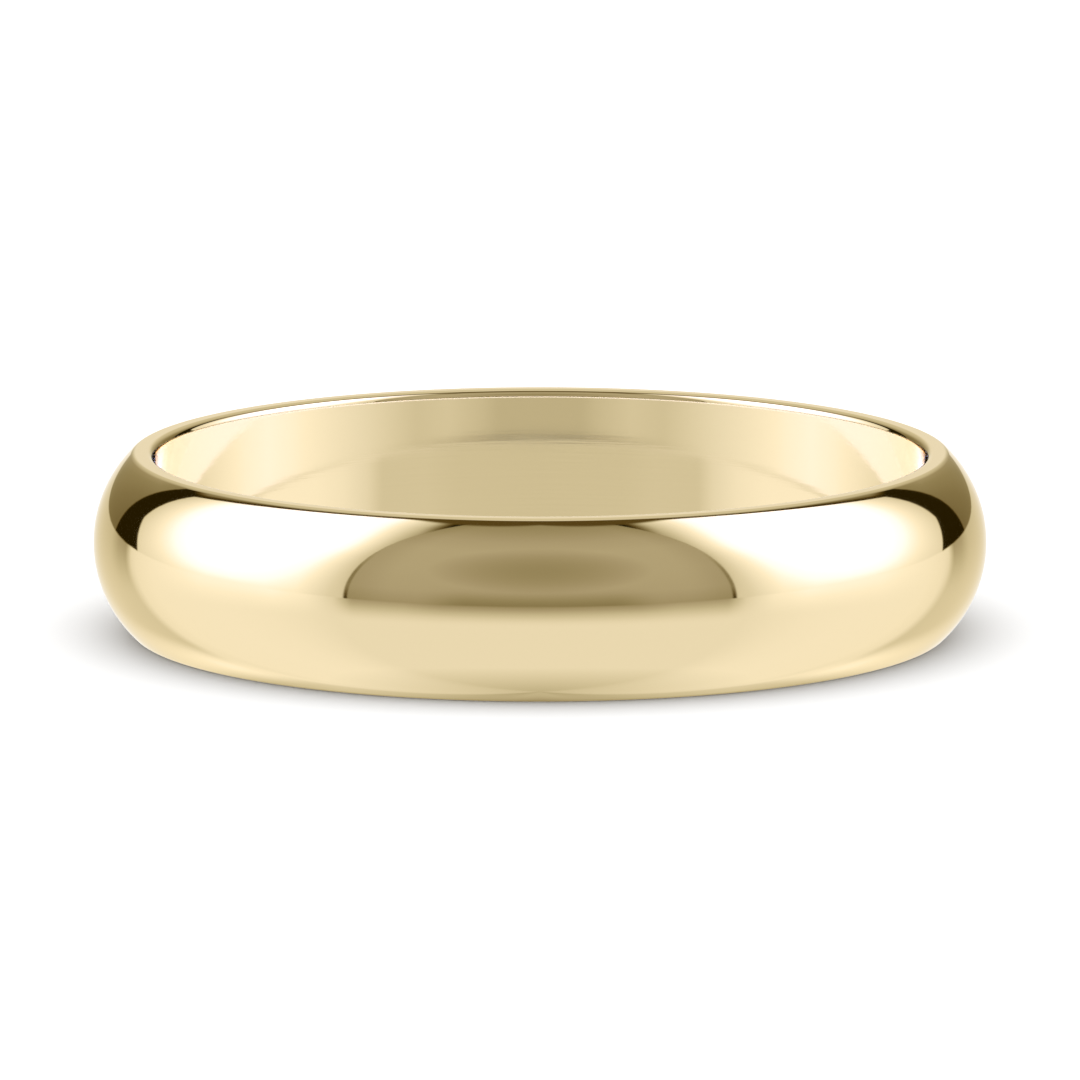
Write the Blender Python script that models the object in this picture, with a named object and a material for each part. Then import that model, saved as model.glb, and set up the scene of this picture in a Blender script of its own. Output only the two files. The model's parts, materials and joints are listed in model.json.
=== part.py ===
"""A plain wedding band in yellow gold, at its real size.

The band lies on one edge. Its axis is +Z, and the origin is the centre of the finger hole, on the plane
that the lower edge rests on. The real band is one seamless piece of metal, with no solder seam, liner,
stone or setting, so the model is one solid: a D-shaped section turned once round the axis.

The section is flat inside and domed outside. The dome is one arc across the whole width. A small
rounding joins it to a narrow flat land on each edge, and a smaller one joins the land to the bore.
"""

from math import asin, cos, pi, sin, sqrt

import bmesh
import bpy

MM = 0.001

# Driving dimensions.
BORE_DIAMETER = 17.1 * MM  # the finger hole: US size 6 3/4
WIDTH = 4.0 * MM  # edge to edge, along the axis
WALL = 1.35 * MM  # bore to the top of the dome
DOME_RADIUS = 2.7 * MM  # curvature of the dome across the width
OUTER_ROUNDING = 0.18 * MM  # radius between the dome and the land
INNER_ROUNDING = 0.16 * MM  # radius between the land and the bore

# How finely each curve is cut.
TURN_STEPS = 120
DOME_STEPS = 12
OUTER_ROUNDING_STEPS = 4
INNER_ROUNDING_STEPS = 3

# Polished 14 ct yellow gold.
GOLD_COLOUR = (0.84, 0.69, 0.42, 1.0)
GOLD_ROUGHNESS = 0.06

# What follows from the driving dimensions.
BORE_RADIUS = BORE_DIAMETER / 2
OUTER_RADIUS = BORE_RADIUS + WALL
HALF_WIDTH = WIDTH / 2


def clear_scene():
    """Removes every object that the scene starts with."""
    for old in list(bpy.data.objects):
        bpy.data.objects.remove(old)


def arc(centre, radius, start, end, steps):
    """Points along an arc, from angle start to angle end, as (distance from the axis, height)."""
    turns = [start + (end - start) * i / steps for i in range(steps + 1)]
    return [(centre[0] + radius * cos(a), centre[1] + radius * sin(a)) for a in turns]


def section_outline():
    """The D-shaped section as a closed loop, about mid-width.

    It starts at the top land, runs down the dome, crosses the lower land and comes back up the bore.
    """
    dome_centre = OUTER_RADIUS - DOME_RADIUS
    edge_height = HALF_WIDTH - OUTER_ROUNDING
    inset_radius = DOME_RADIUS - OUTER_ROUNDING
    edge_centre = dome_centre + sqrt(inset_radius**2 - edge_height**2)
    meeting_angle = asin(edge_height / inset_radius)
    bore_centre = BORE_RADIUS + INNER_ROUNDING
    bore_height = HALF_WIDTH - INNER_ROUNDING

    upper_edge = arc((edge_centre, edge_height), OUTER_ROUNDING, pi / 2, meeting_angle, OUTER_ROUNDING_STEPS)
    dome = arc((dome_centre, 0.0), DOME_RADIUS, meeting_angle, -meeting_angle, DOME_STEPS)
    lower_edge = [(r, -z) for r, z in reversed(upper_edge)]
    lower_bore = arc((bore_centre, -bore_height), INNER_ROUNDING, -pi / 2, -pi, INNER_ROUNDING_STEPS)
    upper_bore = [(r, -z) for r, z in reversed(lower_bore)]
    return upper_edge[:-1] + dome + lower_edge[1:] + lower_bore + upper_bore


def gold():
    """Polished yellow gold."""
    material = bpy.data.materials.new("yellow_gold")
    material.use_nodes = True
    shader = material.node_tree.nodes["Principled BSDF"]
    shader.inputs["Base Color"].default_value = GOLD_COLOUR
    shader.inputs["Metallic"].default_value = 1.0
    shader.inputs["Roughness"].default_value = GOLD_ROUGHNESS
    return material


def turned_solid(name, outline, material):
    """Turns a closed outline once round +Z into a solid, resting on the plane z = 0."""
    shape = bmesh.new()
    loop = [shape.verts.new((r, 0.0, z + HALF_WIDTH)) for r, z in outline]
    for here, after in zip(loop, loop[1:] + loop[:1]):
        shape.edges.new((here, after))
    mesh = bpy.data.meshes.new(name)
    shape.to_mesh(mesh)
    shape.free()
    mesh.materials.append(material)
    solid = bpy.data.objects.new(name, mesh)
    bpy.context.collection.objects.link(solid)

    turn = solid.modifiers.new("turn", "SCREW")
    turn.axis = "Z"
    turn.angle = 2 * pi
    turn.steps = TURN_STEPS
    turn.render_steps = TURN_STEPS
    turn.use_merge_vertices = True
    turn.merge_threshold = 0.000001
    turn.use_smooth_shade = True
    return solid


def main():
    clear_scene()
    turned_solid("band", section_outline(), gold())


main()
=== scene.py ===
"""Looks for a plain wedding band: a turned ring of mirror-polished 14 ct yellow gold on a white table.

The band is one seamless piece of metal, so it is one mesh, turned from the same D-shaped section as its
CAD node and cut much more finely. Its finish is nearly all reflection, so the studio round it matters as
much as the metal: a grey card in front, a big softbox on each side, a black flag behind each softbox and a
paper sweep at the back.
"""

import json
from math import asin, cos, pi, radians, sin, sqrt

import bpy
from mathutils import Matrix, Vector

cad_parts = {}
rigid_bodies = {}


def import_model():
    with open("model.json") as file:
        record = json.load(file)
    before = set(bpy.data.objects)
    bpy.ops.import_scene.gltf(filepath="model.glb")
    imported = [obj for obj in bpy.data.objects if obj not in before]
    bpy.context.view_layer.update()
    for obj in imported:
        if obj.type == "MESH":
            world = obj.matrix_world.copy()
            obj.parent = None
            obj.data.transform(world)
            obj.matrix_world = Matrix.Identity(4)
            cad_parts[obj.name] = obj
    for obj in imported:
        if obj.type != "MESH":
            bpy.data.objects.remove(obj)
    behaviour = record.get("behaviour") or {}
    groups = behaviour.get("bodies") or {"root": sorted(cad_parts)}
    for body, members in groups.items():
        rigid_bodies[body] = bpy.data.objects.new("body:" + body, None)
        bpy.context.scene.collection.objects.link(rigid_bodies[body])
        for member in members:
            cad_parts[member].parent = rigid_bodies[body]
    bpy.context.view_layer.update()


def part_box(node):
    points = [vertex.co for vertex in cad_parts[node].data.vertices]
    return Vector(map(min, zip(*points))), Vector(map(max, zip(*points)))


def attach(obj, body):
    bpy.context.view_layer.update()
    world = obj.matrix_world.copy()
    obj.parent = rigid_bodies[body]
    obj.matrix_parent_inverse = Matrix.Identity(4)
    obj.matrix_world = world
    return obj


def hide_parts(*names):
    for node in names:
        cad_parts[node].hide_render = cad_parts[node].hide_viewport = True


MM = 0.001

# The section of the band, as the CAD node is turned.
WALL = 1.35 * MM
DOME_RADIUS = 2.7 * MM
OUTER_ROUNDING = 0.18 * MM
INNER_ROUNDING = 0.16 * MM

# How finely each curve is cut.
TURN_STEPS = 480
DOME_STEPS = 44
OUTER_ROUNDING_STEPS = 12
INNER_ROUNDING_STEPS = 12
HOLDING_STEP = 0.04 * MM
MERGE_DISTANCE = 0.0005 * MM

# The finish of the gold. Each haze is a least and a most roughness.
GOLD = "#EBD9B0"  # the colour that polished 14 ct yellow gold reflects
GOLD_AT_A_SLANT = "#FAF2DE"  # how much of that colour is left where it is seen edge on
MIRROR_HAZE = (0.03, 0.05)
BORE_HAZE = (0.045, 0.065)

# The view: a long lens, a little above the table.
VIEW_HEIGHT_ANGLE = radians(9.72)
VIEW_DISTANCE = 312 * MM
LENS = 469

TABLE_SIZE = 8.0
TABLE_DROP = 0.005 * MM  # keeps the table clear of the resting edge

# The studio. side is in degrees round from the viewer's side, the same on both sides: 0 is towards the
# viewer and 180 is straight behind the band. height is in degrees above the table. A level of 1 shows the
# gold in its own colour. SWEEP_WIDENING runs (height, degrees added to side), SWEEP_LEVELS runs (widened
# side, level), CARD_LEVELS runs (height, level), WARMTH runs (level, colour), and the rest (side, level).
SWEEP_WIDENING = ((3, 0), (8, 4), (15, 11), (22, 19), (32, 23), (37, 26), (42, 32), (50, 38), (60, 41))
SWEEP_LEVELS = ((120, 0.15), (145, 0.22), (155, 0.27), (163, 0.34), (170, 0.50), (181, 0.68), (210, 0.80))
SOFTBOX_FOOT = ((50, 0.8), (55, 0.87), (65, 1.19), (75, 1.3), (95, 1.3), (105, 1.22), (115, 1.08), (131, 0.9))
SOFTBOX_CONE_SIDE = radians(-161)  # a cone cuts off its curved top, about an axis past straight behind
SOFTBOX_CONE_HEIGHT = radians(49)
CARD_LEVELS = ((0, 0.42), (12, 0.505), (30, 0.53), (50, 0.535), (60, 0.49), (70, 0.405), (76, 0.36))
# Painted reflection of the room in the glossy table, by side.
TABLE_PAINTED_REFLECTION = (
    (0, 0.25), (25, 0.28), (35, 0.38), (49, 0.36), (54, 0.87), (62, 1.2), (72, 1.36), (98, 1.34), (124, 1.09),
    (130, 1.0), (133.5, 0.38), (139, 0.42), (145, 0.66), (155, 0.73), (165, 0.83), (176, 1.15),
)
# Painted lighting on the table, by side, as the gold sees it further down.
TABLE_PAINTED_LIGHTING = (
    (0, 0.99), (55, 0.995), (65, 1.06), (75, 1.1), (90, 1.12), (119, 1.12), (127, 1.07), (132.5, 0.82),
    (145, 0.86), (155, 0.92), (165, 1.0),
)
BORE_PAINTED_LEVELS = (  # painted light levels for light mirrored twice
    (0, 1.33), (20, 1.27), (50, 1.1), (75, 0.96), (105, 0.77), (125, 0.81), (145, 0.71), (155, 0.63),
)
BORE_END_PAINTED_LEVEL = 1.38  # painted light level for light mirrored more often, which shows at the ends of the bore
SWEEP_MIDDLE_LEVEL = 0.96
FRAME_LEVEL = 0.05
FLAG_LEVEL = 0.02
CEILING_LEVEL = 0.11
PLAIN_LEVEL = 1.38  # the plain white room that lights the table
THROWN_LEVEL = 0.2  # what the gold throws on the table
BRIGHTEST = 1.5  # where the list of warmth ends
MOST_CLEARING = 6.5  # how many bounces' worth of the gold's tint is cleared at the most
MOST_BOUNCES = 12
# painted shade level for the dark bands in the bore
BORE_PAINTED_SHADE = 0.02
WARMTH = (  # the dimmer a part of the room is, the warmer it is
    (0.02, (1.0, 0.66, 0.03)),
    (0.10, (1.0, 0.66, 0.15)),
    (0.21, (1.0, 0.84, 0.45)),
    (0.34, (1.0, 0.91, 0.59)),
    (0.47, (1.0, 0.93, 0.73)),
    (0.64, (1.0, 0.976, 0.83)),
    (1.0, (1.0, 1.0, 1.0)),
    (1.22, (1.0, 1.0, 1.04)),
    (1.4, (1.0, 1.0, 1.25)),
    (1.5, (1.0, 1.0, 1.38)),
)
SOFT = {"interpolation_type": "SMOOTHSTEP"}


def linear(hex_colour):
    """An sRGB hex colour as linear red, green, blue and alpha."""
    parts = [int(hex_colour[i : i + 2], 16) / 255 for i in (1, 3, 5)]
    return tuple(p / 12.92 if p <= 0.04045 else ((p + 0.055) / 1.055) ** 2.4 for p in parts) + (1.0,)


def add_node(tree, kind, inputs=None, **settings):
    """Adds a node with its settings. Each input is a value, an output, or a node, for its first output."""
    node = tree.nodes.new("ShaderNode" + kind)
    for name, value in settings.items():
        setattr(node, name, value)
    for name, value in (inputs or {}).items():
        if isinstance(value, bpy.types.Node):
            value = next(output for output in value.outputs if output.enabled)
        if isinstance(value, bpy.types.NodeSocket):
            tree.links.new(value, node.inputs[name])
        else:
            node.inputs[name].default_value = value
    return node


def read_list(tree, reading, end, points):
    """What a list gives at a reading, in straight lines between its points. None of them is past end."""
    share = add_node(tree, "Math", {0: reading, 1: end}, operation="DIVIDE")
    ramp = add_node(tree, "ValToRGB", {0: share})
    stops = ramp.color_ramp.elements
    stops.remove(stops[1])
    for index, (place, colour) in enumerate(points):
        stop = stops[0] if index == 0 else stops.new(place / end)
        stop.position = place / end
        stop.color = (*colour, 1.0) if isinstance(colour, tuple) else (colour, colour, colour, 1.0)
    return ramp


def new_material(name):
    """An empty material and its node tree."""
    material = bpy.data.materials.new(name)
    material.use_nodes = True
    material.node_tree.nodes.clear()
    return material, material.node_tree


# The band ------------------------------------------------------------------------------------------------


def merge_doubles():
    """Merges the points that lie on each other."""
    bpy.ops.mesh.select_all(action="SELECT")
    bpy.ops.mesh.remove_doubles(threshold=MERGE_DISTANCE)


def sweep(centre, angle, steps):
    """Carries the end of the section round an arc. centre is (distance from the axis, height)."""
    bpy.ops.mesh.spin(steps=steps, angle=angle, center=(centre[0], 0.0, centre[1]), axis=(0.0, -1.0, 0.0))


def run(across, up):
    """Carries the end of the section along a straight, with a short step at each end to hold the curves."""
    length = max(abs(across), abs(up))
    hold = min(HOLDING_STEP, length / 4) / length
    for share in (hold, 1 - 2 * hold, hold):
        bpy.ops.mesh.extrude_region_move(TRANSFORM_OT_translate={"value": (across * share, 0.0, up * share)})


def turned_band(low, high):
    """The band as a closed shell. low and high are the corners of the CAD node."""
    outer_radius = high.x
    bore_radius = outer_radius - WALL
    middle = (low.z + high.z) / 2
    half_width = (high.z - low.z) / 2

    dome_centre = outer_radius - DOME_RADIUS
    edge_height = half_width - OUTER_ROUNDING
    inset_radius = DOME_RADIUS - OUTER_ROUNDING
    edge_centre = dome_centre + sqrt(inset_radius**2 - edge_height**2)
    dome_half_angle = asin(edge_height / inset_radius)
    bore_centre = bore_radius + INNER_ROUNDING
    bore_height = half_width - INNER_ROUNDING

    bpy.ops.object.select_all(action="DESELECT")
    bpy.ops.mesh.primitive_plane_add(size=MM, location=(edge_centre, 0.0, high.z))
    band = bpy.context.object
    band.name = "polished_band"
    bpy.ops.object.transform_apply(location=True)

    bpy.ops.object.mode_set(mode="EDIT")
    bpy.ops.mesh.merge(type="CENTER")
    sweep((edge_centre, middle + edge_height), pi / 2 - dome_half_angle, OUTER_ROUNDING_STEPS)
    sweep((dome_centre, middle), 2 * dome_half_angle, DOME_STEPS)
    sweep((edge_centre, middle - edge_height), pi / 2 - dome_half_angle, OUTER_ROUNDING_STEPS)
    run(bore_centre - edge_centre, 0.0)
    sweep((bore_centre, middle - bore_height), pi / 2, INNER_ROUNDING_STEPS)
    run(0.0, 2 * bore_height)
    sweep((bore_centre, middle + bore_height), pi / 2, INNER_ROUNDING_STEPS)
    run(edge_centre - bore_centre, 0.0)
    merge_doubles()

    bpy.ops.mesh.spin(steps=TURN_STEPS, angle=2 * pi, center=(0.0, 0.0, 0.0), axis=(0.0, 0.0, 1.0))
    merge_doubles()
    bpy.ops.mesh.normals_make_consistent(inside=False)
    bpy.ops.object.mode_set(mode="OBJECT")
    bpy.ops.object.shade_smooth()
    return band


def polished_gold(name, haze, hairline_depth):
    """14 ct yellow gold, turned and then buffed with rouge.

    To the eye it is a clean, pale straw-coloured mirror. Close up, the buffing leaves a faint bloom and
    hairlines that run round the band. The bore is harder to reach with a wheel, so it is a little softer.
    """
    material, tree = new_material(name)
    place = add_node(tree, "TexCoord").outputs["Object"]

    # Hairlines are 0.02 mm apart on the real metal. They are drawn five times as coarse, so that they show.
    along = add_node(tree, "Mapping", {"Vector": place, "Scale": (0.35, 0.35, 10.0)})
    hairlines = add_node(tree, "TexNoise", {"Vector": along, "Scale": 1000.0, "Detail": 3.0})
    relief = {"Height": hairlines, "Strength": hairline_depth, "Distance": 0.01 * MM}

    # The bloom is in patches 2 mm across.
    bloom = add_node(tree, "TexNoise", {"Vector": place, "Scale": 450.0, "Detail": 4.0, "Roughness": 0.55})
    roughness = {"Value": bloom, "From Min": 0.3, "From Max": 0.7, "To Min": haze[0], "To Max": haze[1]}

    finish = {
        "Base Color": linear(GOLD),
        "Metallic": 1.0,
        "Specular Tint": linear(GOLD_AT_A_SLANT),
        "Roughness": add_node(tree, "MapRange", roughness),
        "Normal": add_node(tree, "Bump", relief),
    }
    add_node(tree, "OutputMaterial", {"Surface": add_node(tree, "BsdfPrincipled", finish)})
    return material


def finish_band(band, bore_radius):
    """Gives the outside and the edges a mirror polish, and the bore a softer one."""
    band.data.materials.append(polished_gold("mirror_polished_14ct_gold", MIRROR_HAZE, 0.02))
    band.data.materials.append(polished_gold("soft_polished_14ct_gold_bore", BORE_HAZE, 0.03))
    for face in band.data.polygons:
        if face.center.xy.length < bore_radius + 0.002 * MM:
            face.material_index = 1


# The table -----------------------------------------------------------------------------------------------


def table_finish():
    """A sheet of matt white acrylic. It is smooth and even, with a very faint cloudiness in its white."""
    material, tree = new_material("matt_white_acrylic_sheet")
    place = add_node(tree, "TexCoord").outputs["Object"]
    cloud = add_node(tree, "TexNoise", {"Vector": place, "Scale": 40.0, "Detail": 2.0})
    white = {"Factor": cloud, "A": linear("#FAFAFA"), "B": linear("#FCFCFC")}
    finish = {
        "Base Color": add_node(tree, "Mix", white, data_type="RGBA"),
        "Roughness": 0.9,
        "Specular IOR Level": 0.0,
    }
    add_node(tree, "OutputMaterial", {"Surface": add_node(tree, "BsdfPrincipled", finish)})
    return material


def table():
    """The plain white table that the band lies on.

    The gold doesn't mirror it. What the gold sees below it is the table as painted_table_below makes it, which is
    glossier than this one.
    """
    bpy.ops.object.select_all(action="DESELECT")
    bpy.ops.mesh.primitive_plane_add(size=TABLE_SIZE, location=(0.0, 0.0, -TABLE_DROP))
    sheet = bpy.context.object
    sheet.name = "table"
    bpy.ops.object.transform_apply(location=True)
    sheet.data.materials.append(table_finish())
    sheet.visible_glossy = False


# The studio ----------------------------------------------------------------------------------------------
#
# The gold mirrors a studio that is made as light from each direction. In every Map Range node, inputs 1 and 2
# are where the reading starts and ends, and inputs 3 and 4 are what it gives there, 0 and 1 if not set.


def region(tree, *limits):
    """How far a direction is inside every limit. A limit is a reading, where it is out and where it is in."""
    inside = 1.0
    for reading, out_at, in_at in limits:
        inside = add_node(tree, "MapRange", {0: reading, 1: out_at, 2: in_at, 4: inside}, **SOFT)
    return inside


def directions(tree):
    """The direction that light comes from, the same on both sides, and its side and height in degrees."""
    parts = add_node(tree, "SeparateXYZ", {0: add_node(tree, "TexCoord").outputs["Object"]}).outputs
    across = add_node(tree, "Math", {0: parts["X"]}, operation="ABSOLUTE")
    towards = add_node(tree, "Math", {0: parts["Y"], 1: -1.0}, operation="MULTIPLY")
    turn = add_node(tree, "Math", {0: across, 1: towards}, operation="ARCTAN2")
    rise = add_node(tree, "Math", {0: parts["Z"]}, operation="ARCSINE")
    side = add_node(tree, "Math", {0: turn}, operation="DEGREES")
    height = add_node(tree, "Math", {0: rise}, operation="DEGREES")
    folded = add_node(tree, "CombineXYZ", {"X": across, "Y": parts["Y"], "Z": parts["Z"]})
    return folded, side, height


def paper_sweep(tree, side, height):
    """The paper sweep at the back.

    It is brightest straight behind the band and falls away to the sides. The bright part is wider the higher
    it is, and low down in the middle it is brighter still.
    """
    widening = read_list(tree, height, 90, SWEEP_WIDENING)
    spread = add_node(tree, "Math", {0: side, 1: widening}, operation="ADD")
    level = read_list(tree, spread, 220, SWEEP_LEVELS)
    middle = region(tree, (side, 168.0, 178.0), (height, 20.0, 8.0))
    return add_node(tree, "Mix", {"Factor": middle, "A": level, "B": SWEEP_MIDDLE_LEVEL})


def softboxes(tree, folded, side, height, level):
    """A big softbox on each side, with a dark frame along its curved top.

    It is brightest in the middle, dimmer low down and high up, and dimmest in its top corner by the card.
    """
    near = add_node(tree, "MapRange", {0: side, 1: 52.0, 2: 86.0, 3: 0.78, 4: 3.2})
    far = add_node(tree, "MapRange", {0: side, 1: 98.0, 2: 131.0, 3: 3.2, 4: 0.85})
    glow = add_node(tree, "Math", {0: near, 1: far}, operation="MINIMUM")
    foot = read_list(tree, side, 180, SOFTBOX_FOOT)
    up = add_node(tree, "MapRange", {0: height, 1: 0.0, 2: 40.0})
    glow = add_node(tree, "Mix", {"Factor": up, "A": foot, "B": glow})
    fade = add_node(tree, "MapRange", {0: height, 1: 82.0, 2: 42.0, 3: 0.3, 4: 1.0}, **SOFT)
    corner = add_node(tree, "Math", {0: side, 1: -0.8, 2: height}, operation="MULTIPLY_ADD")
    fade = add_node(tree, "MapRange", {0: corner, 1: 31.0, 2: 18.0, 4: fade}, **SOFT)
    glow = add_node(tree, "Math", {0: glow, 1: fade}, operation="MULTIPLY")

    outward = cos(SOFTBOX_CONE_HEIGHT)
    axis = (outward * sin(SOFTBOX_CONE_SIDE), -outward * cos(SOFTBOX_CONE_SIDE), sin(SOFTBOX_CONE_HEIGHT))
    top = add_node(tree, "VectorMath", {0: folded, 1: axis}, operation="DOT_PRODUCT")
    front = region(tree, (side, 50.8, 51.6), (side, 132.5, 131.5), (top, 0.622, 0.614))
    frame = region(tree, (side, 51.0, 58.0), (side, 137.0, 131.0), (top, 0.612, 0.62), (top, 0.656, 0.63))
    level = add_node(tree, "Mix", {"Factor": front, "A": level, "B": glow})
    return add_node(tree, "Mix", {"Factor": frame, "A": level, "B": FRAME_LEVEL})


def flags(tree, side, height, level):
    """The black flag behind each softbox, which leans a little."""
    near_edge = add_node(tree, "MapRange", {0: height, 1: 0.0, 2: 13.0, 3: 126.4, 4: 131.6})
    far_edge = add_node(tree, "MapRange", {0: height, 1: 0.0, 2: 28.0, 3: 143.2, 4: 139.2})
    past_near = add_node(tree, "Math", {0: side, 1: near_edge}, operation="SUBTRACT")
    past_far = add_node(tree, "Math", {0: side, 1: far_edge}, operation="SUBTRACT")
    flag = region(tree, (past_near, -0.4, 0.6), (past_far, 0.5, -0.5), (height, 37.0, 32.0))
    return add_node(tree, "Mix", {"Factor": flag, "A": level, "B": FLAG_LEVEL})


def grey_card(tree, side, height, level):
    """The grey card in front. It is darker at its foot, round the reflected lens and along its black edge."""
    card = read_list(tree, height, 90, CARD_LEVELS)

    foot = region(tree, (side, 32.0, 18.0), (height, 18.0, -1.0))
    foot_shade = add_node(tree, "MapRange", {0: foot, 3: 1.0, 4: 0.7})

    above_lens = add_node(tree, "Math", {0: height, 1: 33.0}, operation="SUBTRACT")
    from_lens = add_node(tree, "CombineXYZ", {"X": side, "Y": above_lens})
    from_lens = add_node(tree, "VectorMath", {0: from_lens, 1: (28.0, 18.5, 1.0)}, operation="DIVIDE")
    from_lens = add_node(tree, "VectorMath", {0: from_lens, 1: from_lens}, operation="DOT_PRODUCT")
    lens_shade = add_node(tree, "MapRange", {0: from_lens, 1: 0.0, 2: 1.3, 3: 0.69, 4: 1.0})

    edge_shade = add_node(tree, "MapRange", {0: side, 1: 38.0, 2: 51.0, 3: 1.0, 4: 0.88}, **SOFT)
    for shade in (foot_shade, lens_shade, edge_shade):
        card = add_node(tree, "Math", {0: card, 1: shade}, operation="MULTIPLY")
    rim = add_node(tree, "MapRange", {0: height, 1: 0.0, 2: 10.0, 3: 0.03, 4: 0.27})
    outline = region(tree, (side, 49.9, 50.4), (height, 45.0, 20.0))
    card = add_node(tree, "Mix", {"Factor": outline, "A": card, "B": rim})
    return add_node(tree, "Mix", {"Factor": region(tree, (side, 51.4, 50.8)), "A": level, "B": card})


def ceiling(tree, folded, side, height, level):
    """The ceiling, which nothing lights."""
    back = add_node(tree, "SeparateXYZ", {0: folded}).outputs["Y"]
    lean = add_node(tree, "Math", {0: side, 1: 0.1, 2: height}, operation="MULTIPLY_ADD")
    dark = region(tree, (lean, 77.5, 80.5), (back, 0.15, 0.05))
    return add_node(tree, "Mix", {"Factor": dark, "A": level, "B": CEILING_LEVEL})


def painted_table_below(tree, side, height, level):
    """The glossy white table below, painted into the world light.

    Near the horizon it shows a painted reflection of the room. Further down it shows itself, with painted
    lighting that is brightest towards the softboxes. Round behind the band's foot, painted light lies on it
    in a bright line, with a painted shadow of the band beyond. Straight below the band it is darkened by
    painted shade.
    """
    # Painted reflection of the room in the table, and painted lighting on the table itself.
    mirrored = read_list(tree, side, 180, TABLE_PAINTED_REFLECTION)
    itself = read_list(tree, side, 180, TABLE_PAINTED_LIGHTING)

    past_pool = add_node(tree, "Math", {0: side, 1: -0.7, 2: height}, operation="MULTIPLY_ADD")
    # Painted shadow of the band on the table, beyond the painted bright line behind its foot.
    shadow = add_node(tree, "MapRange", {0: side, 1: 130.0, 2: 178.0, 3: 0.9, 4: 0.45})
    painted_shadow_mask = region(tree, (side, 127.0, 134.0), (past_pool, -141.5, -155.0), (height, -90.0, -70.0))
    itself = add_node(tree, "Mix", {"Factor": painted_shadow_mask, "A": itself, "B": shadow})
    # Painted light: a bright line on the table round behind the band's foot.
    glow = add_node(tree, "MapRange", {0: side, 1: 140.0, 2: 165.0, 3: 0.42, 4: 0.04})
    painted_light_line_mask = region(tree, (side, 124.0, 135.0), (past_pool, -127.0, -139.5), (past_pool, -152.5, -140.5))
    itself = add_node(tree, "Math", {0: painted_light_line_mask, 1: glow, 2: itself}, operation="MULTIPLY_ADD")
    # Painted shade on the table straight below the band.
    painted_shade_below_band = add_node(tree, "MapRange", {0: height, 1: -90.0, 2: -60.0, 3: 0.64, 4: 1.0})
    itself = add_node(tree, "Math", {0: itself, 1: painted_shade_below_band}, operation="MULTIPLY")

    down = region(tree, (height, 6.0, -19.0))
    below = add_node(tree, "Mix", {"Factor": down, "A": mirrored, "B": itself})
    return add_node(tree, "Mix", {"Factor": region(tree, (height, 0.4, -0.4)), "A": level, "B": below})


def painted_bore_light(tree, bounces, side, height, level):
    """Painted light levels of their own for light that is mirrored more than once, which is the light inside
    the bore.

    Below the horizon it is a painted bright table. Light mirrored just twice also gets painted shade, in a
    band above the horizon and one well below it, the lower one along the foot of the front inner wall. This
    is deepest behind the band, and lightens to a level of 1 towards the viewer.
    """
    again = add_node(tree, "Math", {0: bounces, 1: 1.0}, operation="SUBTRACT", use_clamp=True)
    often = add_node(tree, "Math", {0: bounces, 1: 2.0}, operation="SUBTRACT", use_clamp=True)
    # Painted light: a bright table for light mirrored more than once.
    bright = read_list(tree, side, 180, BORE_PAINTED_LEVELS)
    bright = add_node(tree, "Mix", {"Factor": often, "A": bright, "B": BORE_END_PAINTED_LEVEL})
    low = region(tree, (again, 0.0, 1.0), (height, 2.0, -2.0))
    level = add_node(tree, "Mix", {"Factor": low, "A": level, "B": bright})

    # Painted shade: dark bands for light mirrored just twice.
    dark = add_node(tree, "MapRange", {0: side, 1: 60.0, 2: 150.0, 3: 1.0, 4: BORE_PAINTED_SHADE})
    for start, end in ((2.0, 8.0), (-13.0, -19.0)):
        edge = region(tree, (again, 0.0, 1.0), (often, 1.0, 0.0), (height, start, end))
        level = add_node(tree, "Mix", {"Factor": edge, "A": level, "B": dark})
    return level


def tinted(tree, bounces, level):
    """The colour of the light: warmer where it is dim, and cleared of the gold's tint after one bounce."""
    warmth = read_list(tree, level, BRIGHTEST, WARMTH)
    # Painted light: light mirrored more than once is brightened back by the gold's tint, so it keeps the tint
    # of one mirroring only.
    extra = add_node(tree, "Math", {0: bounces, 1: 1.0}, operation="SUBTRACT")
    extra = add_node(tree, "Math", {0: extra, 1: 0.0}, operation="MAXIMUM")
    extra = add_node(tree, "Math", {0: extra, 1: MOST_CLEARING}, operation="MINIMUM")
    clear = add_node(tree, "Gamma", {"Color": [1 / part for part in linear(GOLD)], "Gamma": extra})
    both = {"Factor": 1.0, "A": warmth, "B": clear}
    return add_node(tree, "Mix", both, data_type="RGBA", blend_type="MULTIPLY")


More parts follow.
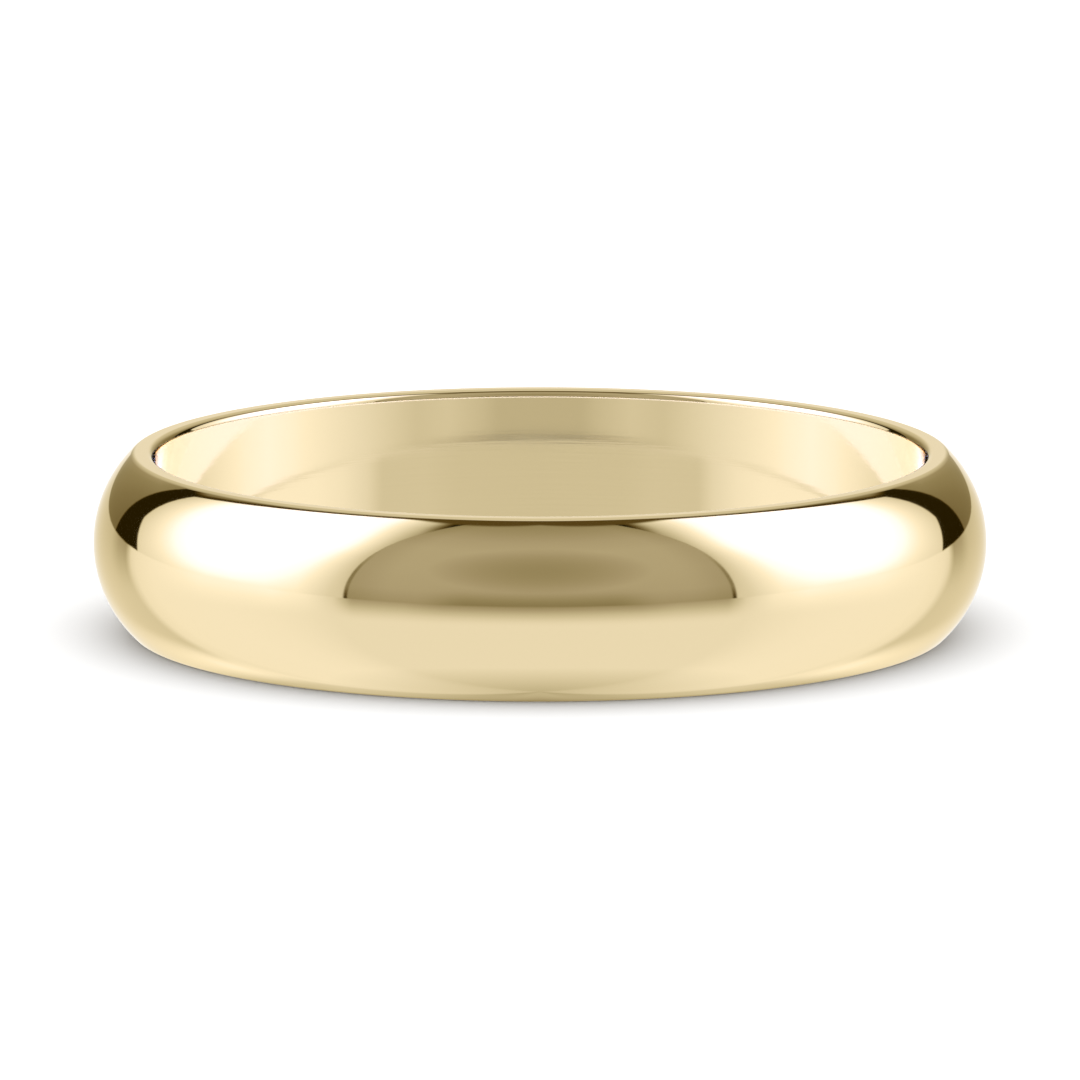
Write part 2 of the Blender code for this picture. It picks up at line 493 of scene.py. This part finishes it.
def studio():
    """The light: the studio for the gold to mirror, and a plain white room for everything else."""
    world = bpy.data.worlds.new("studio")
    bpy.context.scene.world = world
    world.use_nodes = True
    tree = world.node_tree
    tree.nodes.clear()
    path = add_node(tree, "LightPath").outputs
    bounces = path["Glossy Depth"]

    folded, side, height = directions(tree)
    level = paper_sweep(tree, side, height)
    level = softboxes(tree, folded, side, height, level)
    level = flags(tree, side, height, level)
    level = grey_card(tree, side, height, level)
    level = ceiling(tree, folded, side, height, level)
    level = painted_table_below(tree, side, height, level)
    level = painted_bore_light(tree, bounces, side, height, level)
    colour = tinted(tree, bounces, level)

    # Little of the light that the gold throws on the table is kept, so that its shadow stays a soft grey.
    level = add_node(tree, "Mix", {"Factor": path["Diffuse Depth"], "A": level, "B": THROWN_LEVEL})
    mirrored = add_node(tree, "Background", {"Color": colour, "Strength": level})
    plain = add_node(tree, "Background", {"Color": linear("#FFFFFF"), "Strength": PLAIN_LEVEL})
    both = add_node(tree, "MixShader", {0: path["Is Glossy Ray"], 1: plain, 2: mirrored})
    add_node(tree, "OutputWorld", {"Surface": both})


def camera(target):
    """The camera, on the viewer's side and a little above the table, looking at the middle of the band."""
    data = bpy.data.cameras.new("camera")
    data.lens = LENS
    data.clip_start = 1 * MM
    data.clip_end = 20.0
    view = bpy.data.objects.new("camera", data)
    bpy.context.scene.collection.objects.link(view)
    view.location = (
        target.x,
        target.y - VIEW_DISTANCE * cos(VIEW_HEIGHT_ANGLE),
        target.z + VIEW_DISTANCE * sin(VIEW_HEIGHT_ANGLE),
    )
    view.rotation_euler = (pi / 2 - VIEW_HEIGHT_ANGLE, 0.0, 0.0)
    bpy.context.scene.camera = view


def main():
    for old in list(bpy.data.objects):
        bpy.data.objects.remove(old)
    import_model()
    low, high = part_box("band")

    band = turned_band(low, high)
    finish_band(band, high.x - WALL)
    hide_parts("band")
    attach(band, "root")

    table()
    studio()
    camera((low + high) / 2)
    bpy.context.scene.view_settings.view_transform = "Standard"
    bpy.context.scene.cycles.glossy_bounces = MOST_BOUNCES  # light glances round the ends of the bore


main()
